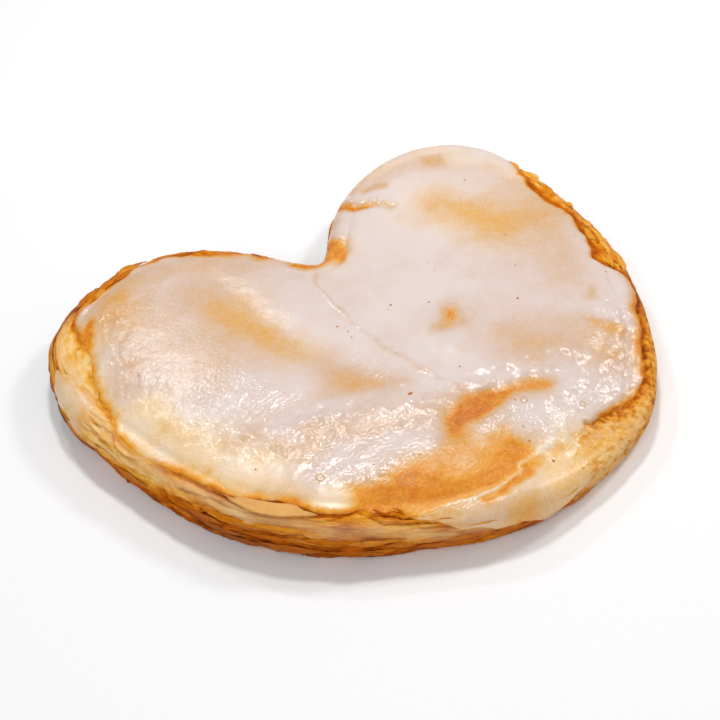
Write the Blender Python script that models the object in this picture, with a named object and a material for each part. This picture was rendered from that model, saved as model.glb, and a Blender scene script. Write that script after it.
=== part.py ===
"""A large heart-shaped palmier: two rolls of puff pastry baked side by side and set flat.

Frame: metres, +Z up, origin under the middle of the heart on the face that it rests on.
The notch between the two lobes points to +Y and the blunt tip points to -Y.
Sizes below are in millimetres unless a name says otherwise.
"""

import math

import bmesh
import bpy
import numpy as np

MM = 0.001

# Overall size.
WIDTH = 273.0
DEPTH = 253.0
RIM_HEIGHT = 25.0
CROWN_RISE = 2.4

# Outline, as it goes round: notch, left lobe, tip, right lobe. Uneven, as a hand-shaped pastry is.
NOTCH = [(8.0, 59.5)]
LEFT_LOBE = [
    (-6.5, 89.5), (-31.0, 117.5), (-65.5, 126.5), (-107.5, 114.5), (-128.0, 87.5),
    (-136.5, 44.5), (-126.5, -26.0), (-101.5, -72.0), (-65.5, -102.5), (-32.5, -120.5),
]
TIP = [(-1.0, -126.0), (30.5, -124.5)]
RIGHT_LOBE = [
    (59.0, -114.0), (91.0, -84.0), (119.5, -37.5), (134.5, 21.5), (134.0, 69.0),
    (111.0, 94.5), (77.5, 98.5), (45.0, 87.0), (22.5, 69.0),
]
STEPS_PER_SPAN = 24
# Half the turn over which the outline's direction is taken at a bearing.
DIRECTION_TURN = math.radians(1.5)

# Top sheet: a square grid pulled out to the heart. Its middle column starts at the notch and
# bends on to the seam. The bend fades with this power of the share of the way out from the
# centre, and over this many degrees to each side.
SEAM_BEND = 3
NOTCH_SPREAD = math.radians(40.0)
GRID_CELLS = 44
SHOULDER_INSET = 12.0
SHOULDER_DROP = 1.6
SHOULDER_REACH = 7.0

# Side: baked layers, each a rounded step, over an undercut down to the face it rests on.
LAYERS = 4
BULGE_HEIGHT = 11.0
BASE_INSET = 6.0
SHOULDER_POWER = 2.6
UNDERCUT_POWER = 1.7
LAYER_GROOVE = 1.5
# The layers wave up and down: how far, how often round the heart, and how much each layer's wave
# has turned on from the one above, in radians over the whole height.
LAYER_WAVE = 0.9
WAVES_ROUND = 5.0
WAVE_TURN = 9.0
# Places across one layer, as shares of its height: its groove, its upper and its lower round.
LAYER_STATIONS = (0.0, 0.3, 0.75)

# Folds pressed into the top where one strand of the roll meets the next:
# route, depth and half-width.
FOLDS = {
    "seam": ([(6.0, 55.0), (2.0, 41.0), (0.0, 27.0), (0.0, -54.0)], 2.2, 3.4),
    "left_strand": ([(-39.5, 83.5), (-41.5, 45.5), (-37.5, 9.5), (-27.5, -30.5)], 2.0, 9.0),
    "front_strand": ([(-101.5, -12.5), (-61.5, -26.5), (-15.5, -50.5)], 0.9, 8.0),
    "tip_strand": ([(-21.5, -73.5), (-12.5, -65.5), (7.5, -68.5), (38.5, -80.5)], 2.6, 6.5),
    "outer_strand": ([(-75.5, -79.5), (-47.5, -94.5), (-15.5, -103.5), (24.5, -106.5)], 2.8, 8.0),
    "right_hollow": ([(76.5, 45.5), (91.5, 13.5)], 1.7, 17.0),
    "right_spot": ([(24.5, -14.5), (19.5, -26.5)], 0.7, 8.0),
    "left_recess": ([(-104.5, 91.5), (-120.5, 57.5), (-125.5, 25.5), (-118.5, -8.5)], 2.2, 5.0),
}
# Broad swells of the top: centre, height and radius.
SWELLS = [
    ((-71.5, 29.5), 1.6, 46.0),
    ((60.5, -24.5), 1.6, 44.0),
    ((72.5, 65.5), 0.8, 30.0),
    ((-65.5, 91.5), 0.9, 28.0),
]
# The outer strand falls away to the edge in front and to the right of the tip, as it was
# drawn down: drop at the rim, width of the fall, and the bearings in degrees that it covers.
TIP_FALL = 7.0
TIP_FALL_WIDTH = 32.0
TIP_FALL_BEARING = -68.0
TIP_FALL_SPREAD = 30.0

CRUST_COLOUR = (0.78, 0.52, 0.24, 1.0)
CRUST_ROUGHNESS = 0.45
SHARP_ANGLE = math.radians(50.0)


def clear_scene():
    for old in list(bpy.data.objects):
        bpy.data.objects.remove(old, do_unlink=True)


def smooth_step(share):
    share = np.clip(share, 0.0, 1.0)
    return share * share * (3.0 - 2.0 * share)


def spline(points, closed):
    """Points along a Catmull-Rom curve through the given ones."""
    knots = np.array(points)
    count = len(knots)
    spans = count if closed else count - 1
    t = np.linspace(0.0, 1.0, STEPS_PER_SPAN, endpoint=False)[:, None]
    runs = []
    for i in range(spans):
        picks = [i - 1, i, i + 1, i + 2]
        picks = [p % count for p in picks] if closed else [min(max(p, 0), count - 1) for p in picks]
        a, b, c, d = knots[picks]
        runs.append(0.5 * (2.0 * b + (c - a) * t + (2.0 * a - 5.0 * b + 4.0 * c - d) * t**2
                           + (3.0 * (b - c) + d - a) * t**3))
    if not closed:
        runs.append(knots[-1:])
    return np.vstack(runs)


def heart_outline():
    """The closed outline, stretched to the overall width and depth and centred."""
    curve = spline(NOTCH + LEFT_LOBE + TIP + RIGHT_LOBE, closed=True)
    low, high = curve.min(axis=0), curve.max(axis=0)
    return (curve - (low + high) / 2.0) * np.array([WIDTH, DEPTH]) / (high - low)


class Heart:
    """Reach of the outline from the centre at any bearing, and its outward direction."""

    def __init__(self):
        curve = heart_outline()
        bearing = np.arctan2(curve[:, 1], curve[:, 0])
        order = np.argsort(bearing)
        self.bearing = bearing[order]
        self.reach = np.hypot(curve[order, 0], curve[order, 1])

    def point(self, bearing):
        reach = np.interp(bearing, self.bearing, self.reach, period=2.0 * math.pi)
        return np.stack([reach * np.cos(bearing), reach * np.sin(bearing)], axis=-1)

    def outward(self, bearing):
        along = self.point(bearing + DIRECTION_TURN) - self.point(bearing - DIRECTION_TURN)
        normal = np.stack([along[:, 1], -along[:, 0]], axis=-1)
        return normal / np.linalg.norm(normal, axis=1)[:, None]


def distance_to_route(points, route):
    """Distance of each point from a smooth route through a few places."""
    steps = spline(route, closed=False)
    start, run = steps[:-1], np.diff(steps, axis=0)
    offset = points[:, None, :] - start[None, :, :]
    share = np.clip((offset * run).sum(axis=2) / (run * run).sum(axis=1), 0.0, 1.0)
    return np.linalg.norm(offset - share[:, :, None] * run, axis=2).min(axis=1)


def tip_fall(points, outline):
    """How far the outer strand has dropped at plan points, given the outline abreast of them."""
    to_edge = np.linalg.norm(outline - points, axis=1) - SHOULDER_INSET
    bearing = np.degrees(np.arctan2(outline[:, 1], outline[:, 0]))
    covered = np.exp(-(((bearing - TIP_FALL_BEARING) / TIP_FALL_SPREAD) ** 2))
    return TIP_FALL * covered * (1.0 - smooth_step(to_edge / TIP_FALL_WIDTH))


def top_height(points, inner_share, outline):
    """Height of the top at plan points; inner_share is 1 at the shoulder and 0 at the centre."""
    x, y = points[:, 0], points[:, 1]
    height = RIM_HEIGHT + CROWN_RISE * (1.0 - inner_share**2)
    for centre, rise, radius in SWELLS:
        gap = np.hypot(x - centre[0], y - centre[1])
        height += rise * np.exp(-((gap / radius) ** 2))
    for route, depth, half_width in FOLDS.values():
        gap = distance_to_route(points, route)
        height -= depth * np.exp(-((gap / half_width) ** 2))
    edge = smooth_step((inner_share - 1.0) * max(WIDTH, DEPTH) / 2.0 / SHOULDER_REACH + 1.0)
    return height - SHOULDER_DROP * edge - tip_fall(points, outline)


def disc_from_square(u, v):
    """Pulls the unit square out to the unit disc, keeping its rows and columns smooth."""
    return u * np.sqrt(1.0 - v * v / 2.0), v * np.sqrt(1.0 - u * u / 2.0)


def bend_to_notch(bearing, share):
    """Turns the bearings about the middle column so that its outer end meets the notch."""
    straight = math.pi / 2.0
    notch = math.atan2(NOTCH[0][1], NOTCH[0][0])
    near = np.exp(-(((bearing - straight) / NOTCH_SPREAD) ** 2))
    return bearing + (notch - straight) * near * share**SEAM_BEND


def add_top(bm, heart):
    """The top sheet: a grid primitive spread over the heart, inset by the shoulder."""
    bmesh.ops.create_grid(bm, x_segments=GRID_CELLS, y_segments=GRID_CELLS, size=1.0)
    square = np.array([vert.co[:2] for vert in bm.verts])
    a, b = disc_from_square(square[:, 0], square[:, 1])
    share = np.minimum(np.hypot(a, b), 1.0)
    bearing = bend_to_notch(np.arctan2(b, a), share)
    rim = heart.point(bearing) - SHOULDER_INSET * heart.outward(bearing)
    plan = rim * share[:, None]
    height = top_height(plan, share, heart.point(bearing))
    for vert, place, z in zip(bm.verts, plan, height):
        vert.co = (place[0] * MM, place[1] * MM, z * MM)


def rim_corners_in_order(edges):
    """The corners of a closed loop of edges, in order of bearing."""
    return sorted({vert for edge in edges for vert in edge.verts},
                  key=lambda vert: math.atan2(vert.co.y, vert.co.x))


def wall_inset(height, rim_height):
    """How far the side stands in from the outline at a height."""
    up = np.clip((height - BULGE_HEIGHT) / (rim_height - BULGE_HEIGHT), 0.0, 1.0)
    down = np.clip((BULGE_HEIGHT - height) / BULGE_HEIGHT, 0.0, 1.0)
    shoulder = 1.0 - (1.0 - up**SHOULDER_POWER) ** (1.0 / SHOULDER_POWER)
    undercut = 1.0 - (1.0 - down**UNDERCUT_POWER) ** (1.0 / UNDERCUT_POWER)
    return SHOULDER_INSET * shoulder + BASE_INSET * undercut


def wall_stations():
    """Shares of the rim's height down the side, with the relief that each one takes."""
    stations = []
    for layer in range(LAYERS):
        for place in LAYER_STATIONS:
            share = 1.0 - (layer + place) / LAYERS
            stations.append((share, LAYER_GROOVE if place == 0.0 else 0.0))
    return stations[1:] + [(0.0, 0.0)]


def add_wall(bm, heart):
    """The side, drawn down from the rim of the top one station at a time."""
    edges = [edge for edge in bm.edges if edge.is_boundary]
    corners = rim_corners_in_order(edges)
    bearing = np.array([math.atan2(vert.co.y, vert.co.x) for vert in corners])
    rim_height = np.array([vert.co.z for vert in corners]) / MM
    outline, outward = heart.point(bearing), heart.outward(bearing)
    for share, groove in wall_stations():
        corners_down = bmesh.ops.extrude_edge_only(bm, edges=edges)["geom"]
        edges = [item for item in corners_down
                 if isinstance(item, bmesh.types.BMEdge) and item.is_boundary]
        corners = rim_corners_in_order(edges)
        wave = np.sin(WAVES_ROUND * bearing + WAVE_TURN * share)
        ripple = LAYER_WAVE * wave * math.sin(math.pi * share)
        height = share * rim_height + ripple
        place = outline - (wall_inset(height, rim_height) + groove)[:, None] * outward
        for vert, (x, y), z in zip(corners, place, height):
            vert.co = (x * MM, y * MM, max(z, 0.0) * MM)
    return edges


def crust_material():
    material = bpy.data.materials.new("pastry_crust")
    material.use_nodes = True
    shader = material.node_tree.nodes["Principled BSDF"]
    shader.inputs["Base Color"].default_value = CRUST_COLOUR
    shader.inputs["Roughness"].default_value = CRUST_ROUGHNESS
    shader.inputs["Metallic"].default_value = 0.0
    return material


def make_pastry(collection):
    heart = Heart()
    bm = bmesh.new()
    add_top(bm, heart)
    base_edges = add_wall(bm, heart)
    bmesh.ops.contextual_create(bm, geom=base_edges)
    bmesh.ops.recalc_face_normals(bm, faces=bm.faces)
    mesh = bpy.data.meshes.new("pastry")
    bm.to_mesh(mesh)
    bm.free()
    mesh.shade_smooth()
    mesh.set_sharp_from_angle(angle=SHARP_ANGLE)
    mesh.materials.append(crust_material())
    collection.objects.link(bpy.data.objects.new("pastry", mesh))


def main():
    clear_scene()
    collection = bpy.data.collections.new("palmier_pastry")
    bpy.context.scene.collection.children.link(collection)
    make_pastry(collection)


main()
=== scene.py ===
"""Looks of the palmier pastry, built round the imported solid.

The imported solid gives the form: rays measure its outline, its top and its side. A fine crust with
baked leaves takes the solid's place, and the sugar glaze lies on it as a closed skin of its own.
Lengths are in metres, and a number times MM is in millimetres. A place on the top is a share of the
part's half width and half depth. A place on the side is a bearing in degrees and a run, the
distance down the side from where the shoulder starts.
"""

import itertools
import math

import bpy
import numpy as np
from mathutils import Matrix, Vector
from mathutils.bvhtree import BVHTree


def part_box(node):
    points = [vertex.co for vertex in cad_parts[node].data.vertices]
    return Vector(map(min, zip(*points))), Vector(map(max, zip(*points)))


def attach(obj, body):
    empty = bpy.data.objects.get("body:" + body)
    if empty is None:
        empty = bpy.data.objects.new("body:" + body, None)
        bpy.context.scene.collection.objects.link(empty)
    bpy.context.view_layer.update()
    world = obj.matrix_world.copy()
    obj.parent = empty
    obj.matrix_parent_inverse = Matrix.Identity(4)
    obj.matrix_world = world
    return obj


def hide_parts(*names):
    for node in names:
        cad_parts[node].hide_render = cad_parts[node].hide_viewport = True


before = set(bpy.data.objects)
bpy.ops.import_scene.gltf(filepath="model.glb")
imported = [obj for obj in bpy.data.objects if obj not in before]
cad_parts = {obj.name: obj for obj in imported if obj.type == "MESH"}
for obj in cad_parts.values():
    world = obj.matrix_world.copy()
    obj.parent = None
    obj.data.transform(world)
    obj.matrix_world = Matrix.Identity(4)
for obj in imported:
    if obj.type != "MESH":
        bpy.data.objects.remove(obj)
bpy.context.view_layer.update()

MM = 0.001
NODE = "pastry"
BODY = "root"
LOW, HIGH = (np.array(corner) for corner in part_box(NODE))
HALF = (HIGH - LOW)[:2] / 2.0

# Side profile, as the solid has it.
SHOULDER_INSET = 12.0 * MM
BULGE_HEIGHT = 11.0 * MM
SHOULDER_POWER = 2.6
UNDERCUT_POWER = 1.7
SEAM_BEND = 3
NOTCH_SPREAD = math.radians(40.0)

# Fineness of the meshes, in cells along one side of the square that is pulled out to the heart.
CRUST_CELLS = 280
GLAZE_CELLS = 300
COARSE_STEP = 4
CRUST_MARGIN = 14.0 * MM
MARGIN_RINGS = 9
SIDE_RINGS = 70


# ---------------------------------------------------------------- smooth noise and small maths


def smooth_step(share):
    share = np.clip(share, 0.0, 1.0)
    return share * share * (3.0 - 2.0 * share)


def lattice_noise(points, cell, seed):
    """Smooth noise from -1 to 1 at points (n, dims), with swells about one cell across."""
    scaled = points / cell
    corner = np.floor(scaled).astype(np.int64)
    share = scaled - corner
    share = share * share * share * (share * (share * 6.0 - 15.0) + 10.0)
    dims = points.shape[1]
    total = np.zeros(len(points))
    for step in itertools.product((0, 1), repeat=dims):
        key = np.full(len(points), seed * 7919 + 17, np.uint64)
        weight = np.ones(len(points))
        for axis in range(dims):
            key = (key ^ (corner[:, axis] + step[axis] + 100000).astype(np.uint64)) * np.uint64(0x9E3779B1)
            key = (key ^ (key >> np.uint64(15))) & np.uint64(0xFFFFFFFF)
            weight = weight * np.where(step[axis], share[:, axis], 1.0 - share[:, axis])
        total += weight * (key.astype(float) / 2147483647.5 - 1.0)
    return total


def layered_noise(points, cell, seed, octaves):
    """Noise with finer and fainter octaves laid over the first."""
    total = np.zeros(len(points))
    weight = 1.0
    for octave in range(octaves):
        total += weight * lattice_noise(points, cell / 2.0**octave, seed + 31 * octave)
        weight *= 0.5
    return total


def blur_ring(values, sigma):
    """Circular Gaussian blur along the first axis, sigma in samples."""
    reach = int(4 * sigma) + 1
    offsets = np.arange(-reach, reach + 1)
    weights = np.exp(-0.5 * (offsets / sigma) ** 2)
    weights /= weights.sum()
    return sum(w * np.roll(values, k, axis=0) for w, k in zip(weights, offsets))


def blur_raster(values, sigma):
    """Gaussian blur of a 2D array, sigma in cells, with the edges held."""
    reach = int(3 * sigma) + 1
    weights = np.exp(-0.5 * (np.arange(-reach, reach + 1) / sigma) ** 2)
    weights /= weights.sum()
    for axis in (0, 1):
        padded = np.pad(values, [(reach, reach) if a == axis else (0, 0) for a in (0, 1)], "edge")
        values = np.apply_along_axis(lambda line: np.convolve(line, weights, "valid"), axis, padded)
    return values


def spline(knots, per_span=16):
    """Points along a Catmull-Rom curve through a few places."""
    knots = np.array(knots, float)
    last = len(knots) - 1
    t = np.linspace(0.0, 1.0, per_span, endpoint=False)[:, None]
    runs = []
    for i in range(last):
        a, b, c, d = (knots[min(max(k, 0), last)] for k in (i - 1, i, i + 1, i + 2))
        runs.append(0.5 * (2.0 * b + (c - a) * t + (2.0 * a - 5.0 * b + 4.0 * c - d) * t**2
                           + (3.0 * (b - c) + d - a) * t**3))
    return np.vstack(runs + [knots[-1:]])


def distance_to_route(points, route):
    """Distance of each plan point from a smooth route through a few places."""
    steps = spline(route)
    best = np.full(len(points), 9.0)
    for start, end in zip(steps[:-1], steps[1:]):
        run = end - start
        offset = points - start
        share = np.clip(offset @ run / (run @ run), 0.0, 1.0)
        gap = offset - share[:, None] * run
        best = np.minimum(best, np.hypot(gap[:, 0], gap[:, 1]))
    return best


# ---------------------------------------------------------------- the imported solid, measured


class Form:
    """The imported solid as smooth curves: its outline, its top and its side."""

    SAMPLES = 1440
    RASTER = 1.0 * MM

    def __init__(self, node):
        points = [vert.co.copy() for vert in node.data.vertices]
        self.tree = BVHTree.FromPolygons(points, [tuple(p.vertices) for p in node.data.polygons])
        self.measure_outline()
        self.measure_top()
        self.measure_side()

    def reach_at(self, bearing, height):
        """How far out the solid stands at a bearing and a height."""
        out = Vector((math.cos(bearing), math.sin(bearing), 0.0))
        hit = self.tree.ray_cast(out + Vector((0.0, 0.0, height)), -out)[0]
        return math.hypot(hit.x, hit.y)

    def measure_outline(self):
        self.bearings = np.linspace(-math.pi, math.pi, self.SAMPLES, endpoint=False)
        heights = [BULGE_HEIGHT * share for share in (0.8, 1.0, 1.2)]
        reach = np.array([max(self.reach_at(b, h) for h in heights) for b in self.bearings])
        base = np.array([self.reach_at(b, 0.3 * MM) for b in self.bearings])
        self.base_inset = blur_ring(np.minimum(reach - base, 8.0 * MM), 20.0).mean()
        reach = blur_ring(reach, 6.0)
        self.curve = np.stack([reach * np.cos(self.bearings), reach * np.sin(self.bearings)], axis=1)
        along = blur_ring(np.roll(self.curve, -3, axis=0) - np.roll(self.curve, 3, axis=0), 4.0)
        normal = np.stack([along[:, 1], -along[:, 0]], axis=1)
        self.normal = normal / np.linalg.norm(normal, axis=1)[:, None]
        self.rim = self.curve - SHOULDER_INSET * self.normal
        notch = (self.bearings > math.radians(60.0)) & (self.bearings < math.radians(110.0))
        self.notch_bearing = self.bearings[notch][reach[notch].argmin()]
        steps = np.linalg.norm(np.roll(self.curve, -1, axis=0) - self.curve, axis=1)
        self.along = np.concatenate([[0.0], np.cumsum(steps)[:-1]])
        self.perimeter = steps.sum()

    def measure_top(self):
        """Height of the top on a fine raster, carried on smoothly past the shoulder."""
        margin = 10.0 * MM
        self.x0, self.y0 = LOW[0] - margin, LOW[1] - margin
        columns = int((HIGH[0] - LOW[0] + 2 * margin) / self.RASTER) + 1
        rows = int((HIGH[1] - LOW[1] + 2 * margin) / self.RASTER) + 1
        heights = np.zeros((rows, columns))
        flat = np.zeros((rows, columns))
        down = Vector((0.0, 0.0, -1.0))
        for row in range(rows):
            for column in range(columns):
                start = Vector((self.x0 + column * self.RASTER, self.y0 + row * self.RASTER, 1.0))
                hit, normal = self.tree.ray_cast(start, down)[:2]
                if hit is not None and normal.z > 0.9:
                    heights[row, column] = hit.z
                    flat[row, column] = 1.0
        for sigma in (30.0, 8.0):
            wide = blur_raster(heights * flat, sigma) / np.maximum(blur_raster(flat, sigma), 1e-9)
            if sigma == 30.0:
                far = wide
        near = blur_raster(flat, 8.0)
        filled = np.where(flat > 0.0, heights, np.where(near > 0.02, wide, far))
        self.raster = blur_raster(filled, 3.6)

    def top(self, plan):
        """Height of the top at plan points."""
        x = np.clip((plan[:, 0] - self.x0) / self.RASTER, 0.0, self.raster.shape[1] - 1.001)
        y = np.clip((plan[:, 1] - self.y0) / self.RASTER, 0.0, self.raster.shape[0] - 1.001)
        i, j = y.astype(int), x.astype(int)
        a, b = y - i, x - j
        r = self.raster
        return ((1 - a) * ((1 - b) * r[i, j] + b * r[i, j + 1])
                + a * ((1 - b) * r[i + 1, j] + b * r[i + 1, j + 1]))

    def measure_side(self):
        """The side's profile: shares of the inset and the height at even steps down it."""
        upper = np.linspace(math.pi / 2.0, 0.0, 80)
        lower = np.linspace(0.0, math.pi / 2.0, 60)[1:]
        rim_height = self.top(self.rim).mean()
        rise = np.concatenate([np.sin(upper) ** (2.0 / SHOULDER_POWER), 0.0 * lower])
        drop = np.concatenate([0.0 * upper, np.sin(lower) ** (2.0 / UNDERCUT_POWER)])
        inset_up = np.concatenate([1.0 - np.cos(upper) ** (2.0 / SHOULDER_POWER), 0.0 * lower])
        inset_down = np.concatenate([0.0 * upper, 1.0 - np.cos(lower) ** (2.0 / UNDERCUT_POWER)])
        height = BULGE_HEIGHT * (1.0 - drop) + (rim_height - BULGE_HEIGHT) * rise
        inset = SHOULDER_INSET * inset_up + self.base_inset * inset_down
        length = np.concatenate([[0.0], np.cumsum(np.hypot(np.diff(height), np.diff(inset)))])
        self.side_length = length[-1]
        self.side_table = (length, rise, drop, inset_up, inset_down)
        self.rim_height = blur_ring(self.top(self.rim), 8.0)

    def at_bearing(self, values, bearing):
        period = 2.0 * math.pi
        if values.ndim == 1:
            return np.interp(bearing, self.bearings, values, period=period)
        return np.stack([np.interp(bearing, self.bearings, v, period=period) for v in values.T], axis=1)

    def side(self, bearing, run):
        """Points on the side at bearings and runs of zero or more."""
        length, rise, drop, inset_up, inset_down = (np.interp(run, self.side_table[0], column)
                                                    for column in self.side_table)
        rim_height = self.at_bearing(self.rim_height, bearing)
        height = BULGE_HEIGHT * (1.0 - drop) + (rim_height - BULGE_HEIGHT) * rise
        inset = SHOULDER_INSET * inset_up + self.base_inset * inset_down
        plan = self.at_bearing(self.curve, bearing)
        plan = plan - inset[:, None] * self.at_bearing(self.normal, bearing)
        return np.column_stack([plan, height])

    def surface(self, bearing, run):
        """Points at bearings and runs, where a run below zero lies inward on the top."""
        rim = self.at_bearing(self.rim, bearing)
        plan = rim * (1.0 + np.minimum(run, 0.0) / np.hypot(rim[:, 0], rim[:, 1]))[:, None]
        blend = smooth_step((run + 4.0 * MM) / (4.0 * MM))
        rim_height = self.at_bearing(self.rim_height, bearing)
        top = np.column_stack([plan, (1.0 - blend) * self.top(plan) + blend * rim_height])
        return np.where((run < 0.0)[:, None], top, self.side(bearing, np.maximum(run, 0.0)))

    def facing(self, bearing, run):
        """Outward directions of the surface at bearings and runs."""
        step = 0.6 * MM
        rim = self.at_bearing(self.rim, bearing)
        turn = step / np.maximum(np.hypot(rim[:, 0], rim[:, 1]), 1.0 * MM)
        across = self.surface(bearing + turn, run) - self.surface(bearing - turn, run)
        down = self.surface(bearing, run + step) - self.surface(bearing, run - step)
        normal = np.cross(down, across)
        plan = self.surface(bearing, run)[:, :2]
        slope = [(self.top(plan + shift) - self.top(plan - shift)) / (2.0 * step)
                 for shift in (np.array([step, 0.0]), np.array([0.0, step]))]
        flat = np.column_stack([-slope[0], -slope[1], np.ones(len(plan))])
        normal = np.where((run < -2.0 * MM)[:, None], flat, normal)
        return normal / np.linalg.norm(normal, axis=1)[:, None]


# ---------------------------------------------------------------- building meshes


def square_sheet(cells, form):
    """Bearing and share from the centre for the corners of a square grid pulled out to the disc."""
    line = np.linspace(-1.0, 1.0, cells + 1)
    u, v = np.meshgrid(line, line)
    a = (u * np.sqrt(1.0 - v * v / 2.0)).ravel()
    b = (v * np.sqrt(1.0 - u * u / 2.0)).ravel()
    share = np.minimum(np.hypot(a, b), 1.0)
    bearing = np.arctan2(b, a)
    straight = math.pi / 2.0
    near = np.exp(-(((bearing - straight) / NOTCH_SPREAD) ** 2))
    return bearing + (form.notch_bearing - straight) * near * share**SEAM_BEND, share


def square_rim(cells):
    """Indices of the border corners of a square grid, in order round it."""
    row = cells + 1
    bottom = np.arange(cells)
    right = cells + row * np.arange(cells)
    top = cells * row + cells - np.arange(cells)
    left = row * (cells - np.arange(cells))
    return np.concatenate([bottom, right, top, left])


def square_faces(cells, first, upward):
    """Quads of a square grid of corners whose indices start at first."""
    row = cells + 1
    i, j = np.meshgrid(np.arange(cells), np.arange(cells), indexing="ij")
    corner = (first + i * row + j).ravel()
    ring = [corner, corner + 1, corner + row + 1, corner + row]
    return np.stack(ring if upward else ring[::-1], axis=1).tolist()


def band_faces(upper, lower):
    """Quads between two closed rings of corners, the upper one listed first."""
    upper_next, lower_next = np.roll(upper, -1), np.roll(lower, -1)
    return np.stack([upper, lower, lower_next, upper_next], axis=1).tolist()


def stepped_band(fine, coarse, fine_is_lower):
    """Polygons between a fine ring and a coarse one with a corner for every few of its own."""
    faces = []
    for k in range(len(coarse)):
        span = [fine[(COARSE_STEP * k + s) % len(fine)] for s in range(COARSE_STEP + 1)]
        inner = [coarse[(k + 1) % len(coarse)], coarse[k]]
        faces.append([int(c) for c in (span + inner if fine_is_lower else (span + inner)[::-1])])
    return faces


def make_piece(name, points, faces, attributes, material):
    """A smooth-shaded mesh object with float attributes on its corners, riding on the body."""
    mesh = bpy.data.meshes.new(name)
    mesh.from_pydata([tuple(p) for p in points], [], faces)
    for label, values in attributes.items():
        layer = mesh.attributes.new(label, "FLOAT", "POINT")
        layer.data.foreach_set("value", np.asarray(values, np.float32))
    mesh.shade_smooth()
    mesh.materials.append(material)
    piece = bpy.data.objects.new(name, mesh)
    bpy.context.scene.collection.objects.link(piece)
    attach(piece, BODY)
    return piece


# ---------------------------------------------------------------- where the glaze lies

# How far the glaze reaches past the start of the shoulder, in millimetres by bearing. Below zero
# the crust is bare inside it. In front of the tip the glaze has run down the side.
GLAZE_REACH = [
    (-178, 5.5), (-172, 4.5), (-166, 3.5), (-160, 2.5), (-155, 1), (-151, 1), (-147, 2.5), (-143, 5),
    (-139, 3), (-134, 3), (-129, 3), (-125, 5), (-121, 11), (-116, 16), (-105, 20), (-98, 25), (-93, 24),
    (-89, 19), (-86, 11), (-83, 3), (-80, -2), (-76, -4), (-72, -1), (-68, 2), (-64, 3.5), (-58, 4.8),
    (-52, 5.4), (-46, 6),
    (-37, 7), (-31, 9), (-27.5, 8), (-26, 1), (-22, -4), (-16, -1), (-10, 1), (-5, 4), (0, 3), (4, -3), (8, -2),
    (12, 2), (17, 9), (22, 12), (45, 14), (64, 13), (78, 11), (86, 9), (92, 9), (99, 5), (106, 3.5),
    (115, 2.5), (124, 3), (131, 3), (135, 0), (138, -5), (142, -7), (149, -5), (156, -4), (160, -2),
    (164, 1), (168, 5), (173, 6),
]
EDGE_WANDER = 1.5 * MM
BEAD_WIDTH = 2.0 * MM
GLAZE_DEPTH = 1.1 * MM
THIN_DEPTH = 0.25 * MM
TUCK_DEPTH = 0.35 * MM

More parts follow.
